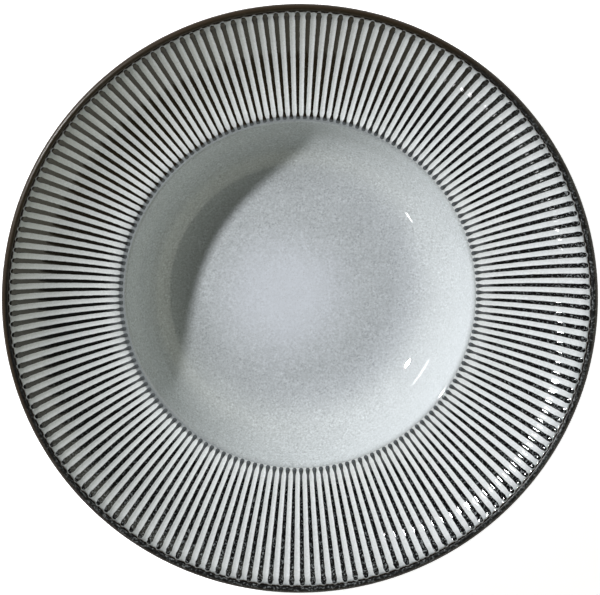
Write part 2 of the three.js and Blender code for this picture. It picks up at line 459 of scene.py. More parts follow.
def largest(tree, *values):
    """The largest of some values."""
    return reduce(lambda first, second: calculate(tree, "MAXIMUM", first, second), values)


def minus(tree, value, less):
    """A value less another."""
    return calculate(tree, "SUBTRACT", value, less)


def scaled(tree, value, factor, base):
    """A value times a factor, added to a base."""
    return calculate(tree, "MULTIPLY_ADD", value, factor, base)


def measure(tree, operation, place, other):
    """A Vector Math node's value."""
    inputs = {0: place, 1: other}
    return add_node(tree, "ShaderNodeVectorMath", inputs, operation=operation).outputs["Value"]


def ease(tree, value, start, end):
    """0 before the start, 1 after the end, and a smooth step between them."""
    inputs = {"Value": value, "From Min": start, "From Max": end}
    node = add_node(tree, "ShaderNodeMapRange", inputs, interpolation_type="SMOOTHSTEP")
    return node.outputs["Result"]


def ease_from(tree, value, place, reach):
    """A smooth step whose start and end are counted from a place."""
    start, end = reach
    return ease(tree, value, place + start, place + end)


def band(tree, value, place, reach):
    """A smooth rise and fall. Its reach, from a place, says where it starts, is full, fades and ends."""
    start, full, fading, end = reach
    rise = ease_from(tree, value, place, (start, full))
    return product(tree, rise, ease_from(tree, value, place, (end, fading)))


def mix_colours(tree, factor, first, second, blend="MIX"):
    """A colour between two colours."""
    inputs = {0: factor}
    for key, tint in ((6, first), (7, second)):
        inputs[key] = tint if isinstance(tint, bpy.types.NodeSocket) else (*tint, 1.0)
    return add_node(tree, "ShaderNodeMix", inputs, data_type="RGBA", blend_type=blend).outputs[2]


def cover(tree, tone, *films):
    """A colour under films of other colours, each with how much it hides, from 0 to 1."""
    for tint, share in films:
        tone = mix_colours(tree, share, tone, tint)
    return tone


def noise(tree, place, scale, detail=2.0, roughness=0.5):
    """A Noise texture's value, about 0.5 on average."""
    inputs = {"Vector": place, "Scale": scale, "Detail": detail, "Roughness": roughness}
    return add_node(tree, "ShaderNodeTexNoise", inputs).outputs["Fac"]


def bump(tree, height, strength, distance):
    """A Bump node's normal."""
    inputs = {"Height": height, "Strength": strength, "Distance": distance}
    return add_node(tree, "ShaderNodeBump", inputs).outputs["Normal"]


def new_group(name, inputs, outputs):
    """An empty shader node group that reads a place and values and puts out values."""
    tree = bpy.data.node_groups.new(name, "ShaderNodeTree")
    tree.interface.new_socket(name="Place", in_out="INPUT", socket_type="NodeSocketVector")
    for way, labels in (("INPUT", inputs), ("OUTPUT", outputs)):
        for label in labels:
            tree.interface.new_socket(name=label, in_out=way, socket_type="NodeSocketFloat")
    return tree, tree.nodes.new("NodeGroupInput").outputs, tree.nodes.new("NodeGroupOutput")


def use_group(tree, group, inputs):
    """The outputs of a node group that is placed in a material with its own values."""
    return add_node(tree, "ShaderNodeGroup", inputs, node_tree=group).outputs


# Finishes

# Scales of the noises, in features for each metre
CLOUD_SCALE = 60.0
PATCH_SCALE = 240.0
GRAIN_SCALE = 1100.0
FINE_SCALE = 2600.0
SPECK_SCALE = 1300.0
RAGGED_SCALE = 520.0
MOTTLE_SCALE = 1000.0
TOOTH_SCALE = 1800.0
DRIFT_SCALE = 45.0
HEM_SCALE = 700.0
BACK_SCALE = 40.0

# Sides of the plate. A range says how far towards its side, from the axis, an effect starts and is full.
FLECK_AND_SHEEN_SIDE = (0.6, -0.8, 0.0)  # where the rim faces the key lamp: more speckle on the film, which also paints the lamp's sheen
FLECK_AND_SHEEN_RANGE = (-70 * MM, 60 * MM)
WARM_SIDE = (-0.42, 0.91, 0.0)  # where the film is thinner
WARM_RANGE = (40 * MM, 95 * MM)
NECK_RANGE = (80 * MM, 10 * MM)  # of the grey film on the ribs' necks
KEY_LAMP_SIDE = (-0.87, 0.5, 0.0)  # towards the key lamp, where painted shade darkens the well's edge and the rim beside it
# Ranges of the painted shade on the edge's roll and on the rim beside it, towards the key lamp
ROLL_SHADE_RANGE = (-55 * MM, 45 * MM)
SHOULDER_SHADE_RANGE = (10 * MM, 75 * MM)
GRAIN_RANGE = (-78 * MM, -45 * MM)  # of the strong grain in the well
ROLL_SHADE_SHIFT = 0.009  # how far the painted shade on the edge moves out, for the distance towards the key lamp

# Where an effect starts and is full along the radius. A band also fades and ends.
WALL_RANGE = (50 * MM, 66 * MM)  # from the axis
POOL_RANGE = (50 * MM, 14 * MM)  # from the pool's centre
TIP_REACH = (1.9 * MM, 0.6 * MM)  # from the ribs' inner ends, as the next three
BULB_REACH = (4.2 * MM, 0.8 * MM)
ROLL_REACH = (-2.6 * MM, 0.0, 1.0 * MM, 2.2 * MM)
SHOULDER_SHADE_REACH = (-1.0 * MM, 0.0, 0.0, 8 * MM)
NECK_REACH = (-3.5 * MM, 0.8 * MM, 1.2 * MM, 7 * MM)  # from the ribs' necks
FLECK_REACH = (-24 * MM, -6 * MM)  # from the ribs' outer ends, as the next two
FADING_REACH = (-4.8 * MM, 0.0)
HEM_REACH = (-0.8 * MM, 0.8 * MM)
MATT_REACH = (-0.6 * MM, 0.0)  # from the glaze's hem
LIP_REACH = (-1.7 * MM, -0.7 * MM)  # from the outermost point of the lip, as the next
LINE_REACH = (-1.2 * MM, -0.9 * MM, -0.6 * MM, -0.3 * MM)

# How strong an effect is. A pair gives what is added for a full cause, and what there is without it.
CLOUD_SHADE = (0.12, 0.94)
SIDE_GRAIN = (0.6, 0.4)
POOL_GRAIN = (-1.4, 2.1)
FLUTE_GRAIN = 0.8
BACK_GRAIN = 1.5
SPECK_STRENGTH = 0.35
# On the side the key lamp lights, the 0.55 that is added paints sheen; the 0.04 is speckle all round.
FLECK_AND_SHEEN_STRENGTH = (0.55, 0.04)
FLECK_GATHERING = (0.7, 0.9)
TIP_STRENGTH = 0.65
LIP_STRENGTH = (-0.8, 1.0)
LINE_STRENGTH = 0.75
# On the roll, 0.17 all round is thin glaze; the 0.68 added towards the key lamp is painted shade.
ROLL_STRENGTH = (0.68, 0.17)
SHOULDER_SHADE_STRENGTH = 0.4
FADING_STRENGTH = 0.5
CLAY_SHADE = 0.6  # of the bare clay's colour, in its dark spots
TOOTH_HEIGHT = (0.9, 0.1)
FILM_ROUGHNESS = (0.3, 0.03)  # the cause is to lie outside the glaze's hem
CLAY_ROUGHNESS = 0.85
GLAZE_ROUGHNESS = 0.028

POOL_DRIFT = 14 * MM  # how far the pool's outline wanders
HEM_DRIFT = 1.6 * MM
LIP_DRIFT = 0.8 * MM
RIB_END_RADIUS = 1.1 * MM
BULB_RADIUS = 1.0 * MM
BULB_WIDTH = 0.34  # added to the dark share of the pitch at a rib's inner end
NECK_WIDTH = 0.19  # dark share of the pitch where a rib is thinnest
WIDENING = 0.18  # added to it along the rib
WIDENING_LENGTH = 8 * MM  # over which most of that is added
SCALLOP_WIDTH = 1.1 * MM  # of the pale glaze round a rib's outer end
FLUTE_END = 0.5 * MM  # from the ribs' outer ends to the end of the pale glaze between them
HEM_SOFTNESS = 0.3  # how fast the glaze thins outside the ribs, against beside them
RIM_BREAK = (0.28 * MM, 0.3 * MM)  # width and wobble of the glaze's thin edge
BACK_BREAK = (1.6 * MM, 1.6 * MM)
BROWN_BREAK = (0.0, 0.55)  # how thin a glaze is where it turns brown, and then dark
DARK_BREAK = (0.5, 0.95)
SMOOTH_SPECKS = 0.34  # share of a cell that its speck may fill, in the well and on the back
FLUTE_SPECKS = 0.22
FLECK_EDGE = (0.5, 0.7)  # how strong the mottle is where a fleck starts and is full
SPECK_EDGE = (0.0, 0.12)
BACK_GAP = 0.3 * MM  # from the ends of the glaze on the back to where it breaks
FOOT_GAP = 0.6 * MM
BARE_HEIGHT = (2.0, 1.2)  # in roundings of the foot ring, where the bare clay starts and is full


def place_group(rib_count):
    """A place's radius and height, and how near it is to a rib: 1 on a crest and 0 amid a flute."""
    tree, given, result = new_group("Place on the plate", [], ["Radius", "Height", "Rib"])
    parts = add_node(tree, "ShaderNodeSeparateXYZ", {"Vector": given["Place"]}).outputs
    squares = [product(tree, parts[axis], parts[axis]) for axis in ("X", "Y")]
    radius = calculate(tree, "SQRT", calculate(tree, "ADD", *squares))
    azimuth = calculate(tree, "ARCTAN2", parts["Y"], parts["X"])
    ribs = product(tree, azimuth, rib_count / FULL_TURN)
    across = minus(tree, calculate(tree, "FRACT", ribs), 0.5)
    nearness = product(tree, calculate(tree, "ABSOLUTE", across), 2.0)
    feed(tree, result, {"Radius": radius, "Height": parts["Z"], "Rib": nearness})
    return tree


def grain_group():
    """The glaze's fine grain and its iron specks."""
    tree, given, result = new_group("Glaze grain", ["Specks", "Strength"], ["Shade", "Speck", "Height"])
    place = given["Place"]
    grain = minus(tree, noise(tree, place, GRAIN_SCALE, 2.0, 0.6), 0.5)
    grain = product(tree, grain, noise(tree, place, PATCH_SCALE))
    cloud = scaled(tree, noise(tree, place, CLOUD_SCALE, 3.0), *CLOUD_SHADE)
    cells = {"Vector": place, "Scale": SPECK_SCALE}
    cells = add_node(tree, "ShaderNodeTexVoronoi", cells, feature="F1").outputs
    chance = add_node(tree, "ShaderNodeSeparateColor", {"Color": cells["Color"]}).outputs["Red"]
    dot = minus(tree, product(tree, chance, given["Specks"]), cells["Distance"])
    feed(tree, result, {
        "Shade": scaled(tree, grain, given["Strength"], cloud),
        "Speck": product(tree, ease(tree, dot, *SPECK_EDGE), SPECK_STRENGTH),
        "Height": noise(tree, place, FINE_SCALE, 1.0),
    })
    return tree


def break_group():
    """Where the glaze is too thin to stay pale. Depth is the distance into the glaze from its edge."""
    tree, given, result = new_group("Thin glaze", ["Depth", "Width", "Wobble"], ["Thin"])
    ragged = minus(tree, noise(tree, given["Place"], RAGGED_SCALE, 3.0, 0.6), 0.5)
    moved = scaled(tree, ragged, given["Wobble"], given["Depth"])
    feed(tree, result, {"Thin": ease(tree, moved, given["Width"], 0.0)})
    return tree


class Finishes:
    """The plate's materials, with the node groups that they share."""

    def __init__(self, section, colours):
        self.section = section
        self.colours = colours
        self.pool_centre = (-6.5 * MM, -3.8 * MM, section.floor_height)
        self.place = place_group(section.sizes.rib_count)
        self.grain = grain_group()
        self.thin = break_group()

    def start(self, name):
        """A material with its Principled shader, the place group's outputs and the Object coordinates."""
        material = bpy.data.materials.new(name)
        material.use_nodes = True
        tree = material.node_tree
        shader = tree.nodes["Principled BSDF"]
        coordinates = add_node(tree, "ShaderNodeTexCoord").outputs["Object"]
        return material, tree, shader, coordinates, use_group(tree, self.place, {"Place": coordinates})

    def dark_film(self):
        """Clay under a film of thin dark glaze, brown outside the lip and bare on the foot ring. Its pale
        speckle also paints sheen where the rim faces the key lamp.
        """
        colours = self.colours
        section = self.section
        plate_radius = section.sizes.plate_radius
        foot_round = section.sizes.foot_round
        material, tree, shader, coordinates, place = self.start("dark_film")
        radius = place["Radius"]
        mottle = noise(tree, coordinates, MOTTLE_SCALE, 2.0, 0.65)
        warm_side = measure(tree, "DOT_PRODUCT", coordinates, WARM_SIDE)
        fleck_and_sheen_side = ease(tree, measure(tree, "DOT_PRODUCT", coordinates, FLECK_AND_SHEEN_SIDE), *FLECK_AND_SHEEN_RANGE)
        # speckle, strongest where the rim faces the key lamp, where it paints sheen
        flecks_and_sheen = product(
            tree,
            ease(tree, mottle, *FLECK_EDGE),
            scaled(tree, fleck_and_sheen_side, *FLECK_AND_SHEEN_STRENGTH),
            scaled(tree, ease_from(tree, radius, section.rib_outer, FLECK_REACH), *FLECK_GATHERING),
        )
        neck = product(tree, band(tree, radius, section.neck, NECK_REACH), ease(tree, warm_side, *NECK_RANGE))
        tip = ease_from(tree, radius, section.rib_inner, TIP_REACH)
        lip = ease_from(tree, scaled(tree, mottle, LIP_DRIFT, radius), plate_radius, LIP_REACH)
        line = band(tree, radius, plate_radius, LINE_REACH)
        film = cover(
            tree, colours.dark_film,
            (colours.warm_film, ease(tree, warm_side, *WARM_RANGE)),
            (colours.film_speck_and_sheen, flecks_and_sheen),
            (colours.neck_film, neck),
            (colours.edge_film_and_shade, product(tree, tip, TIP_STRENGTH)),
            (colours.brown_film, product(tree, lip, scaled(tree, fleck_and_sheen_side, *LIP_STRENGTH))),
            (colours.brown_film, product(tree, line, fleck_and_sheen_side, LINE_STRENGTH)),
        )
        bare = ease(tree, place["Height"], *(foot_round * share for share in BARE_HEIGHT))
        clay = mix_colours(tree, mottle, colours.bare_clay, [CLAY_SHADE * part for part in colours.bare_clay])
        matt = ease_from(tree, radius, section.hem_radius, MATT_REACH)
        rough = scaled(tree, matt, *FILM_ROUGHNESS)
        tooth = noise(tree, coordinates, TOOTH_SCALE, 3.0, 0.7)
        tooth = product(tree, tooth, scaled(tree, bare, *TOOTH_HEIGHT))
        feed(tree, shader, {
            "Base Color": mix_colours(tree, bare, film, clay),
            "Roughness": largest(tree, rough, product(tree, bare, CLAY_ROUGHNESS)),
            "Normal": bump(tree, tooth, 0.15, 0.1 * MM),
        })
        return material

    def glaze(self, name, specks, tone_of, depth_of=None, face=True):
        """A pale glossy glaze. Its tone, its grain and the depth into it come from functions of the place."""
        colours = self.colours
        material, tree, shader, coordinates, place = self.start(name)
        tone, strength = tone_of(tree, place, coordinates)
        grain = use_group(tree, self.grain, {"Place": coordinates, "Specks": specks, "Strength": strength})
        shade = add_node(tree, "ShaderNodeCombineColor", {axis: grain["Shade"] for axis in range(3)})
        tone = mix_colours(tree, 1.0, tone, shade.outputs["Color"], blend="MULTIPLY")
        films = [(colours.glaze_speck, grain["Speck"])]
        if depth_of:
            depth, width, wobble = depth_of(tree, place)
            edge = {"Place": coordinates, "Depth": depth, "Width": width, "Wobble": wobble}
            thin = use_group(tree, self.thin, edge)["Thin"]
            films.append((colours.thin_glaze, ease(tree, thin, *BROWN_BREAK)))
            films.append((colours.dark_film, ease(tree, thin, *DARK_BREAK)))
        if face:
            films.append((colours.edge_film_and_shade, self.thin_and_shaded_edge(tree, coordinates, place["Radius"])))
        feed(tree, shader, {
            "Base Color": cover(tree, tone, *films),
            "Roughness": product(tree, grain["Shade"], GLAZE_ROUGHNESS),
            "Normal": bump(tree, grain["Height"], 0.1, 0.02 * MM),
        })
        return material

    def thin_and_shaded_edge(self, tree, coordinates, radius):
        """Where the glaze ran thin over the roll of the well's edge, with painted shade on the roll and the
        rim beside it towards the key lamp.
        """
        rib_inner = self.section.rib_inner
        towards_key_lamp = measure(tree, "DOT_PRODUCT", coordinates, KEY_LAMP_SIDE)
        outward = product(tree, largest(tree, towards_key_lamp, 0.0), ROLL_SHADE_SHIFT)
        shifted = minus(tree, radius, outward)
        # thin glaze on the roll all round, and painted shade on it towards the key lamp
        roll = band(tree, shifted, rib_inner, ROLL_REACH)
        roll = product(tree, roll, scaled(tree, ease(tree, towards_key_lamp, *ROLL_SHADE_RANGE), *ROLL_STRENGTH))
        # painted shade on the rim beside the edge, towards the key lamp
        shoulder_shade = band(tree, radius, rib_inner, SHOULDER_SHADE_REACH)
        shoulder_shade = product(tree, shoulder_shade, ease(tree, towards_key_lamp, *SHOULDER_SHADE_RANGE), SHOULDER_SHADE_STRENGTH)
        return largest(tree, roll, shoulder_shade)

    def well_glaze(self):
        """Glaze of the well, palest where it pooled in the middle, thin at the well's edge and painted darker
        there as shade towards the key lamp.
        """
        colours = self.colours

        def tone_of(tree, place, coordinates):
            off_centre = measure(tree, "DISTANCE", coordinates, self.pool_centre)
            drift = product(tree, noise(tree, coordinates, DRIFT_SCALE, 3.0), POOL_DRIFT)
            pool = ease(tree, calculate(tree, "ADD", off_centre, drift), *POOL_RANGE)
            wall = ease(tree, place["Radius"], *WALL_RANGE)
            tone = cover(tree, colours.well_glaze, (colours.well_pool, pool), (colours.well_wall, wall))
            towards_key_lamp = measure(tree, "DOT_PRODUCT", coordinates, KEY_LAMP_SIDE)
            strength = scaled(tree, ease(tree, towards_key_lamp, *GRAIN_RANGE), *SIDE_GRAIN)
            return tone, product(tree, strength, scaled(tree, pool, *POOL_GRAIN))

        return self.glaze("well_glaze", SMOOTH_SPECKS, tone_of)

    def rim_glaze(self):
        """Glaze of the flutes, broken along the ribs and outside their ends, thin at the well's edge and
        painted darker as shade there and beside it towards the key lamp.
        """
        colours = self.colours
        section = self.section
        pitch = FULL_TURN / section.sizes.rib_count

        def tone_of(tree, place, coordinates):
            radius = place["Radius"]
            along = {"Value": radius, "From Min": section.rib_inner, "From Max": section.rib_outer}
            along = add_node(tree, "ShaderNodeMapRange", along).outputs["Result"]
            hem = scaled(tree, noise(tree, coordinates, HEM_SCALE), HEM_DRIFT, radius)
            hem = ease_from(tree, hem, section.rib_outer, HEM_REACH)
            fading = product(tree, ease_from(tree, radius, section.rib_outer, FADING_REACH), FADING_STRENGTH)
            hem = largest(tree, hem, fading)
            tone = cover(tree, colours.flute_glaze, (colours.flute_end, along), (colours.hem_glaze, hem))
            return tone, FLUTE_GRAIN

        def depth_of(tree, place):
            radius = place["Radius"]
            from_neck = largest(tree, minus(tree, radius, section.neck), 0.0)
            narrowing = calculate(tree, "EXPONENT", calculate(tree, "DIVIDE", from_neck, -WIDENING_LENGTH))
            share = scaled(tree, narrowing, -WIDENING, NECK_WIDTH + WIDENING)
            share = scaled(tree, ease_from(tree, radius, section.rib_inner, BULB_REACH), BULB_WIDTH, share)
            half_pitch = product(tree, radius, pitch / 2)
            half_rib = product(tree, share, half_pitch)
            across = product(tree, minus(tree, 1.0, place["Rib"]), half_pitch)
            past_outer = minus(tree, radius, section.rib_outer - RIB_END_RADIUS)
            past_inner = minus(tree, section.rib_inner + BULB_RADIUS, radius)
            past = largest(tree, past_outer, past_inner, 0.0)
            squares = scaled(tree, across, across, product(tree, past, past))
            beside = minus(tree, calculate(tree, "SQRT", squares), half_rib)
            scallop = minus(tree, SCALLOP_WIDTH, beside)
            flute_end = minus(tree, section.rib_outer + FLUTE_END, radius)
            after = product(tree, largest(tree, scallop, flute_end), HEM_SOFTNESS)
            return (calculate(tree, "MINIMUM", beside, after), *RIM_BREAK)

        return self.glaze("rim_glaze", FLUTE_SPECKS, tone_of, depth_of)

    def back_glaze(self):
        """Glaze of the underside, broken below the lip and above the foot ring."""
        colours = self.colours
        sizes = self.section.sizes
        start = self.section.back_start().radius
        foot = sizes.foot_radius + sizes.foot_width / 2 + sizes.foot_round

        def tone_of(tree, place, coordinates):
            cloud = noise(tree, coordinates, BACK_SCALE, 3.0)
            return mix_colours(tree, cloud, colours.well_glaze, colours.well_pool), BACK_GRAIN

        def depth_of(tree, place):
            before = minus(tree, start - BACK_GAP, place["Radius"])
            after = minus(tree, place["Radius"], foot + FOOT_GAP)
            inside = minus(tree, sizes.foot_radius - sizes.foot_width, place["Radius"])
            depth = calculate(tree, "MINIMUM", before, largest(tree, after, inside))
            return (depth, *BACK_BREAK)

        return self.glaze("back_glaze", SMOOTH_SPECKS, tone_of, depth_of, face=False)


def plate_section():
    """The section at the sizes that are set."""
    return Section(bpy.context.scene.plate_sizes)


def plate_finish(name):
    """One of the plate's materials, made with the rest when the first is asked for."""
    if name not in bpy.data.materials:
        finishes = Finishes(plate_section(), bpy.context.scene.plate_colours)
        for make in (finishes.dark_film, finishes.well_glaze, finishes.rim_glaze, finishes.back_glaze):
            make()
    return bpy.data.materials[name]


# Pieces


class Row(NamedTuple):
    """A row across a sector of the rim: its radius, how much wider it is than the sector, and its level."""

    radius: float
    width: float
    level: float


ROW_TOLERANCE = 0.05 * MM


def model_sector(name, stations, half, columns):
    """A strip of the rim, with a row at each station, that reaches half an angle to each side of +X."""
    piece = start_piece(name)
    draw_line([station.point(-half) for station in stations])
    turn_line(2 * half, columns)
    return piece


def shape_row(piece, station, half, columns, width, reach, height_of):
    """Widens the columns of a row within reach of the middle, then lifts each column off the surface."""
    def in_row(place):
        return near(place.xy.length, station.radius, ROW_TOLERANCE) and near(place.z, station.height)

    spacing = 2 * half / columns
    select_where(piece, lambda place: in_row(place) and abs(azimuth_of(place)) < reach * half + spacing / 2)
    bpy.ops.transform.resize(value=(1.0, width, 1.0), center_override=station.point())
    for column in range(columns // 2 + 1):
        side = 2 * column / columns
        azimuth = side * half * (width if side <= reach else 1.0)
        select_where(
            piece, lambda place: in_row(place) and near(abs(azimuth_of(place)), azimuth, spacing / 4)
        )
        bpy.ops.transform.translate(value=station.normal() * height_of(side))


RIB_COLUMNS = 8
TIP_SHARE = 0.9  # of half the pitch, all columns but the outermost
RIB_REACH = 0.5  # of half the pitch, the columns that a rib's width moves
RIB_SHAPE = {0.0: 1.0, 0.25: 0.945, 0.5: 0.64}  # height against the crest's, by the distance from the crest

RUN_START = 5.5 * MM  # from a rib's inner end
RUN_END = 4.0 * MM  # from its outer end
RUN_STEPS = 6


def run_radii(section):
    """Rows along the straight run of a rib, alike on the clay and on the glaze."""
    inner = section.rib_inner + RUN_START
    outer = section.rib_outer - RUN_END
    return [inner + (outer - inner) * i / RUN_STEPS for i in range(RUN_STEPS + 1)]


def rib_width(section, radius):
    """The dark width of a rib on its run, as a share of the pitch. It grows towards the lip."""
    return NECK_WIDTH + WIDENING * (1 - math.exp((section.neck - radius) / WIDENING_LENGTH))


def rib_level(section, radius):
    """The height of a rib against that at its outer end. Its sides keep their slope as the pitch grows."""
    return radius / section.rib_outer


RUN_WIDTH = 0.5  # of the pitch, the base of a rib whose columns stand as they were turned
COVERED_WIDTH = 0.2  # of the pitch, the feet of a rib that the glaze covers


def rib_rows(section):
    """Rows of a rib from the well to the lip: a bulb, a neck, the straight run and a rounded club end."""
    inner = section.rib_inner
    outer = section.rib_outer
    run = [
        Row(radius, (COVERED_WIDTH + rib_width(section, radius)) / RUN_WIDTH, rib_level(section, radius))
        for radius in run_radii(section)
    ]
    return [
        Row(inner, 1.0, 0.0),
        Row(inner + 0.3 * MM, 1.1, 0.5),
        Row(inner + 0.7 * MM, 1.3, 0.8),
        Row(inner + 1.2 * MM, 1.36, 0.9),
        Row(inner + 1.9 * MM, 1.2, 0.82),
        Row(inner + 2.8 * MM, 0.99, 0.72),
        Row(inner + 4.0 * MM, 0.85, 0.65),
        *run,
        Row(outer - 1.8 * MM, 1.3, 1.0),
        Row(outer - 0.8 * MM, 1.3, 0.93),
        Row(outer - 0.25 * MM, 1.1, 0.72),
        Row(outer, 1.0, 0.0),
    ]


def model_ribs(section):
    """One rib with the clay on both sides of it, as wide as the ribs' pitch, copied round the rim."""
    sizes = section.sizes
    half = math.pi / sizes.rib_count
    rows = rib_rows(section)
    stations = [section.face_at(row.radius) for row in rows]
    piece = model_sector("ribs", stations, half, RIB_COLUMNS)
    for row, station in zip(rows, stations):
        shape_row(
            piece, station, half, RIB_COLUMNS, row.width, RIB_REACH,
            lambda side: sizes.rib_height * row.level * RIB_SHAPE.get(side, 0.0),
        )
    for tip in (stations[0], stations[-1]):
        def in_tip(place):
            inside = abs(azimuth_of(place)) < TIP_SHARE * half
            return inside and near(place.xy.length, tip.radius, ROW_TOLERANCE)

        select_where(piece, in_tip)
        bpy.ops.mesh.merge(type="CENTER")
    copy_round(sizes.rib_count)
    bpy.ops.object.mode_set(mode="OBJECT")
    return piece


BODY_STEPS = {"bowl": 10, "edge": 8, "lip": 12, "back": 6, "foot": 4}  # stretches of the clay's section


class PLATE_OT_stoneware_body(bpy.types.Operator):
    """Models the clay: the ribbed rim, the well under its glaze, the lip, the back and the foot ring"""

    bl_idname = "plate.stoneware_body"
    bl_label = "Stoneware body"

    def execute(self, context):
        section = plate_section()
        ribs = model_ribs(section)
        body = start_piece("clay_body")
        well_end = section.face_at(section.rib_inner).slope
        well = section.well_face(BODY_STEPS["bowl"], BODY_STEPS["edge"], well_end)
        below = [
            section.rim.at_radius(section.rib_outer),
            section.rim.at_radius(section.hem_radius),
            *section.lip_round(BODY_STEPS["lip"]),
            *section.back_face(BODY_STEPS["back"]),
            *section.foot(BODY_STEPS["foot"]),
            *section.recess()[1:],
        ]
        turn_section(well, 2 * section.sizes.rib_count)
        start_line()
        turn_section(below, 2 * section.sizes.rib_count)
        bpy.ops.object.mode_set(mode="OBJECT")
        bpy.ops.object.select_all(action="DESELECT")
        ribs.select_set(True)
        body.select_set(True)
        context.view_layer.objects.active = body
        bpy.ops.object.join()
        bpy.ops.object.mode_set(mode="EDIT")
        merge_seams()
        finish_piece(body, plate_finish("dark_film"), "stoneware_body")
        return {"FINISHED"}


COAT_STEPS = {"bowl": 26, "edge": 10, "back": 8}  # stretches of the coats' sections
UNDER_STRIDE = 3  # stations of the well's face to each one on the hidden side of its coat
TAPER_STEPS = 2  # stations over which a coat gains its full thickness
WELL_TAPER = 0.05  # share of the thickness that is left at a coat's end
BACK_TAPER = 0.08


def tapered(thickness, steps, least):
    """A coat's thickness some stations from its end, where only the least share of it is left."""
    return thickness * min(1.0, least + (1 - least) * steps / TAPER_STEPS)


class PLATE_OT_well_glaze(bpy.types.Operator):
    """Models the glaze that lies in the well and thins out over its edge"""

    bl_idname = "plate.well_glaze"
    bl_label = "Well glaze"

    def execute(self, context):
        section = plate_section()
        thickness = section.sizes.glaze_thickness
        face = section.well_face(COAT_STEPS["bowl"], COAT_STEPS["edge"], section.sizes.rim_inner_slope)
        last = len(face) - 1
        over = [station.lifted(tapered(thickness, last - i, WELL_TAPER)) for i, station in enumerate(face)]
        under = [station.lifted(-COAT_OVERLAP) for station in face[::-UNDER_STRIDE]]
        if under[-1].radius > 0:
            under.append(section.floor().lifted(-COAT_OVERLAP))
        piece = start_piece("well_coat")
        turn_section([*over, *under], 2 * section.sizes.rib_count)
        merge_seams()
        finish_piece(piece, plate_finish("well_glaze"), "well_glaze")
        return {"FINISHED"}


TONGUE_WIDTH = 0.68  # of the ribs' pitch
TONGUE_COLUMNS = 6
RING_WIDTH = 1 / TONGUE_WIDTH
RIM_OVERLAP = 0.1 * MM  # how far the comb reaches into the clay


def tongue_rows(section):
    """Rows of a tongue of glaze, from the well's edge between the ribs' ends to the ring outside them."""
    inner = section.rib_inner
    outer = section.rib_outer
    run = [
        Row(radius, (1 - rib_width(section, radius)) / TONGUE_WIDTH, 1.0)
        for radius in run_radii(section)
    ]
    return [
        Row(inner - 0.5 * MM, RING_WIDTH, 0.3),
        Row(inner - 0.2 * MM, RING_WIDTH, 0.7),
        Row(inner + 0.1 * MM, RING_WIDTH, 0.88),
        Row(inner + 0.4 * MM, 0.80, 0.93),
        Row(inner + 0.7 * MM, 0.64, 0.96),
        Row(inner + 1.2 * MM, 0.61, 1.0),
        Row(inner + 1.9 * MM, 0.74, 1.0),
        Row(inner + 2.8 * MM, 1.0, 1.0),
        Row(inner + 4.0 * MM, 1.12, 1.0),
        *run,
        Row(outer - 1.8 * MM, 0.84, 1.0),
        Row(outer - 0.8 * MM, 0.88, 1.0),
        Row(outer - 0.25 * MM, 1.05, 1.0),
        Row(outer + 0.1 * MM, RING_WIDTH, 1.0),
        Row(section.hem_radius - 0.25 * MM, RING_WIDTH, 0.85),
        Row(section.hem_radius, RING_WIDTH, 0.1),
    ]


class PLATE_OT_rim_glaze(bpy.types.Operator):
    """Models the comb of glaze on the rim: a tongue in each flute, and a ring at each end of the ribs"""

    bl_idname = "plate.rim_glaze"
    bl_label = "Rim glaze"

    def execute(self, context):
        section = plate_section()
        sizes = section.sizes
        pitch = FULL_TURN / sizes.rib_count
        half = TONGUE_WIDTH * pitch / 2
        rows = tongue_rows(section)
        stations = [section.face_at(row.radius) for row in rows]
        piece = model_sector("rim_coat", stations, half, TONGUE_COLUMNS)
        for row, station in zip(rows, stations):
            rise = 0.0 if row.width == RING_WIDTH else sizes.flute_rise * rib_level(section, row.radius)
            level = sizes.flute_glaze * row.level
            shape_row(piece, station, half, TONGUE_COLUMNS, row.width, 1.0, lambda side: level + rise * side)
        bpy.ops.mesh.select_all(action="SELECT")
        bpy.ops.transform.rotate(value=pitch / 2, orient_axis="Z", center_override=ORIGIN)
        copy_round(sizes.rib_count)
        if sum(face.normal.z for face in bmesh.from_edit_mesh(piece.data).faces) < 0:
            bpy.ops.mesh.flip_normals()
        bpy.ops.object.mode_set(mode="OBJECT")
        wall = piece.modifiers.new("coat", "SOLIDIFY")
        wall.thickness = sizes.flute_glaze + RIM_OVERLAP
        wall.offset = -1.0
        bpy.ops.object.modifier_apply(modifier=wall.name)
        finish_piece(piece, plate_finish("rim_glaze"), "rim_glaze")
        return {"FINISHED"}


class PLATE_OT_back_glaze(bpy.types.Operator):
    """Models the glaze on the underside, from below the lip to the foot ring"""

    bl_idname = "plate.back_glaze"
    bl_label = "Back glaze"

    def execute(self, context):
        section = plate_section()
        thickness = section.sizes.back_glaze_thickness
        face = section.back_face(COAT_STEPS["back"])
        last = len(face) - 1
        over = [
            station.lifted(-tapered(thickness, min(i, last - i), BACK_TAPER))
            for i, station in enumerate(face)
        ]
        under = [station.lifted(COAT_OVERLAP) for station in reversed(face)]
        piece = start_piece("back_coat")
        turn_section([*over, *under, over[0]], section.sizes.rib_count)
        merge_seams()
        finish_piece(piece, plate_finish("back_glaze"), "back_glaze")
        return {"FINISHED"}


RECESS_SLOPE = 1.5 * MM  # width of the thin edge of the disc inside the foot ring
RECESS_TAPER = 0.05


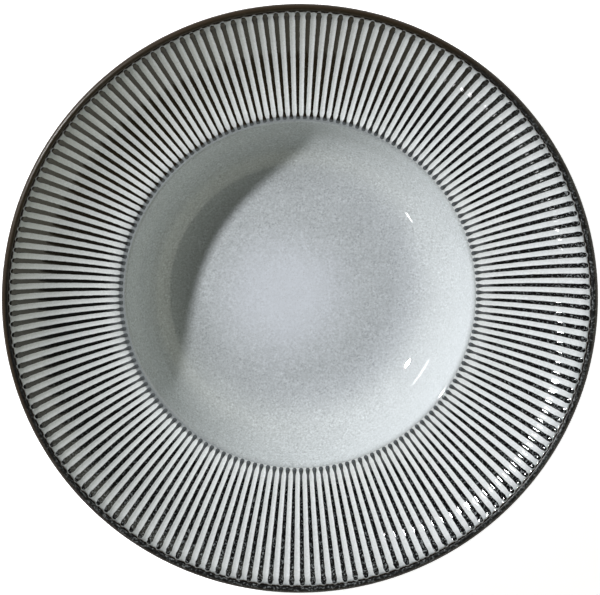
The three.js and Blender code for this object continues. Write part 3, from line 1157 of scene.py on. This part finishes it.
class PLATE_OT_foot_recess_glaze(bpy.types.Operator):
    """Models the disc of glaze inside the foot ring"""

    bl_idname = "plate.foot_recess_glaze"
    bl_label = "Foot recess glaze"

    def execute(self, context):
        section = plate_section()
        thickness = section.sizes.back_glaze_thickness
        edge, middle = section.recess()
        inner = edge._replace(radius=edge.radius - RECESS_SLOPE)
        piece = start_piece("recess_coat")
        disc = [
            middle.lifted(-thickness),
            inner._replace(radius=inner.radius / 2).lifted(-thickness),
            inner.lifted(-thickness),
            edge.lifted(-RECESS_TAPER * thickness),
            edge.lifted(COAT_OVERLAP),
            middle.lifted(COAT_OVERLAP),
        ]
        turn_section(disc, section.sizes.rib_count)
        merge_seams()
        finish_piece(piece, plate_finish("back_glaze"), "foot_recess_glaze")
        return {"FINISHED"}


# Stage

PHOTO_WIDTH = 600
PHOTO_HEIGHT = 595
LIP_CENTRE_X = 299.95  # photo pixels
LIP_CENTRE_Y = 300.45
PLATE_RADIUS_PIXELS = 298.4
VIEW_DISTANCE = 30.0  # plate radii
VIEW_TILT = math.radians(9.1)  # towards +Y
VIEW_LEAN = math.radians(0.6)
VIEW_ROLL = math.radians(0.49)  # so that the ribs lie as photographed
SENSOR_WIDTH = 36.0
CLIP_START = 0.1
CLIP_END = 20.0


def add_camera(section):
    """A long lens that looks down on the plate from a little past upright."""
    sizes = section.sizes
    focal = PLATE_RADIUS_PIXELS * VIEW_DISTANCE
    data = bpy.data.cameras.new("photo_view")
    data.sensor_width = SENSOR_WIDTH
    data.lens = focal * SENSOR_WIDTH / PHOTO_WIDTH
    data.shift_x = (PHOTO_WIDTH / 2 - LIP_CENTRE_X) / PHOTO_WIDTH
    data.shift_y = (LIP_CENTRE_Y - PHOTO_HEIGHT / 2) / PHOTO_WIDTH
    data.clip_start = CLIP_START
    data.clip_end = CLIP_END
    camera = bpy.data.objects.new("photo_view", data)
    bpy.context.collection.objects.link(camera)
    seen = Matrix.Rotation(VIEW_TILT, 3, "X") @ Matrix.Rotation(VIEW_LEAN, 3, "Y")
    turn = (seen @ Matrix.Rotation(VIEW_ROLL, 3, "Z")).transposed()
    lip_centre = Vector((0.0, 0.0, section.lip.centre_height + sizes.rim_thickness / 2))
    away = turn @ Vector((0.0, 0.0, VIEW_DISTANCE * sizes.plate_radius))
    camera.matrix_world = Matrix.Translation(lip_centre + away) @ turn.to_4x4()
    bpy.context.scene.camera = camera


class Lamp(NamedTuple):
    """An oval lamp that faces the plate. It stands at two angles in degrees, and at a distance in metres."""

    azimuth: float
    elevation: float
    distance: float
    size: tuple
    power: float
    tint: tuple = (1.0, 1.0, 1.0)
    diffuse: bool = True
    glossy: bool = True


LAMPS = {
    "key_lamp": Lamp(150.5, 34, 6.0, (0.36, 0.36), 525.0, (1.0, 0.97, 0.985), glossy=False),
    "key_glint": Lamp(153, 37.5, 6.0, (0.36, 0.36), 250.0, diffuse=False),
    "second_lamp": Lamp(222, 32, 1.2, (0.09, 0.045), 0.3),
    "low_lamp": Lamp(152, 12.5, 3.0, (0.74, 0.2), 3.3),
}


def add_lamp(name, lamp, aim):
    """Sets up a lamp that is aimed at a point."""
    data = bpy.data.lights.new(name, "AREA")
    data.shape = "ELLIPSE"
    data.size, data.size_y = lamp.size
    data.energy = lamp.power
    data.color = lamp.tint
    light = bpy.data.objects.new(name, data)
    light.visible_diffuse = lamp.diffuse
    light.visible_glossy = lamp.glossy
    bpy.context.collection.objects.link(light)
    azimuth = math.radians(lamp.azimuth)
    elevation = math.radians(lamp.elevation)
    level = math.cos(elevation)
    towards = Vector((level * math.cos(azimuth), level * math.sin(azimuth), math.sin(elevation)))
    turn = towards.to_track_quat("Z", "Y").to_matrix().to_4x4()
    light.matrix_world = Matrix.Translation(aim + lamp.distance * towards) @ turn


BRIGHT_SIDE = (0.94, -0.342, 0.0)
DARK_FROM = -0.7  # along the bright side's direction
SKY = (  # height on the unit sphere and the light's colour there
    (0.26, (0.72, 0.74, 0.72)),
    (0.29, (1.15, 1.15, 0.98)),
    (0.593, (1.15, 1.15, 0.98)),
    (0.607, (0.04, 0.039, 0.033)),
    (0.90, (0.04, 0.039, 0.033)),
)


def add_backdrop(scene):
    """A studio with a white side and a dim warm ceiling. The camera itself sees plain white."""
    world = bpy.data.worlds.new("backdrop")
    scene.world = world
    world.use_nodes = True
    tree = world.node_tree
    direction = add_node(tree, "ShaderNodeTexCoord").outputs["Generated"]
    side = measure(tree, "DOT_PRODUCT", direction, BRIGHT_SIDE)
    side = add_node(tree, "ShaderNodeMapRange", {"Value": side, "From Min": DARK_FROM}).outputs["Result"]
    height = add_node(tree, "ShaderNodeSeparateXYZ", {"Vector": direction}).outputs["Z"]
    sky = add_node(tree, "ShaderNodeValToRGB", {"Fac": height})
    steps = sky.color_ramp.elements
    for step, (place, tint) in zip([*steps, *(steps.new(1.0) for _ in SKY[2:])], SKY):
        step.position = place
        step.color = (*tint, 1.0)
    studio = tree.nodes["Background"]
    feed(tree, studio, {"Color": sky.outputs["Color"], "Strength": side})
    bright = add_node(tree, "ShaderNodeBackground", {"Color": (1.0, 1.0, 1.0, 1.0)})
    seen = add_node(tree, "ShaderNodeLightPath").outputs["Is Camera Ray"]
    both = add_node(tree, "ShaderNodeMixShader", {
        0: seen, 1: studio.outputs["Background"], 2: bright.outputs["Background"]
    })
    feed(tree, tree.nodes["World Output"], {"Surface": both.outputs["Shader"]})


FLOOR_SIZE = 8.0
FLOOR_DROP = 0.1 * MM  # below the foot ring
FLOOR_ROUGHNESS = 0.9
FLOOR_GLOW = (0.84, 0.84, 0.84)  # seen by the camera only, so that it doesn't light the underside
NO_GLOW = (0.0, 0.0, 0.0)


def add_floor(colour):
    """A wide pale floor."""
    bpy.ops.object.select_all(action="DESELECT")
    bpy.ops.mesh.primitive_plane_add(size=FLOOR_SIZE, location=(0.0, 0.0, -FLOOR_DROP))
    floor = bpy.context.object
    floor.name = "stage_floor"
    material = bpy.data.materials.new("stage_floor")
    material.use_nodes = True
    tree = material.node_tree
    seen = add_node(tree, "ShaderNodeLightPath").outputs["Is Camera Ray"]
    feed(tree, tree.nodes["Principled BSDF"], {
        "Base Color": (*colour, 1.0),
        "Roughness": FLOOR_ROUGHNESS,
        "Emission Color": mix_colours(tree, seen, NO_GLOW, FLOOR_GLOW),
        "Emission Strength": 1.0,
    })
    floor.data.materials.append(material)


class PLATE_OT_stage(bpy.types.Operator):
    """Sets up the floor, the lamps, the backdrop and the camera"""

    bl_idname = "plate.stage"
    bl_label = "Stage"

    def execute(self, context):
        section = plate_section()
        scene = context.scene
        scene.view_settings.view_transform = "Standard"
        add_floor(scene.plate_colours.stage_floor)
        add_backdrop(scene)
        aim = Vector((0.0, 0.0, section.rim_height))
        for name, lamp in LAMPS.items():
            add_lamp(name, lamp, aim)
        add_camera(section)
        return {"FINISHED"}


class PLATE_PT_panel(bpy.types.Panel):
    """Lists the plate's pieces, sizes and colours"""

    bl_idname = "PLATE_PT_panel"
    bl_label = "Pasta plate"
    bl_space_type = "VIEW_3D"
    bl_region_type = "UI"
    bl_category = "Plate"

    def draw(self, context):
        for operator in PIECE_OPERATORS:
            self.layout.operator(operator.bl_idname)
        for title, group in (("Sizes", context.scene.plate_sizes), ("Colours", context.scene.plate_colours)):
            box = self.layout.box()
            box.label(text=title)
            for name in group.__annotations__:
                box.prop(group, name)


PIECE_OPERATORS = (
    PLATE_OT_stage,
    PLATE_OT_stoneware_body,
    PLATE_OT_well_glaze,
    PLATE_OT_rim_glaze,
    PLATE_OT_back_glaze,
    PLATE_OT_foot_recess_glaze,
)
CLASSES = (PlateSizes, PlateColours, *PIECE_OPERATORS, PLATE_PT_panel)


def register():
    """Adds the classes and the scene's settings."""
    for cls in CLASSES:
        bpy.utils.register_class(cls)
    bpy.types.Scene.plate_sizes = PointerProperty(type=PlateSizes)
    bpy.types.Scene.plate_colours = PointerProperty(type=PlateColours)


def unregister():
    """Removes the scene's settings and the classes."""
    del bpy.types.Scene.plate_colours
    del bpy.types.Scene.plate_sizes
    for cls in reversed(CLASSES):
        bpy.utils.unregister_class(cls)


def main():
    """Builds the stage and the plate."""
    register()
    bpy.ops.plate.stage()
    bpy.ops.plate.stoneware_body()
    bpy.ops.plate.well_glaze()
    bpy.ops.plate.rim_glaze()
    bpy.ops.plate.back_glaze()
    bpy.ops.plate.foot_recess_glaze()


if __name__ == "__main__":
    main()
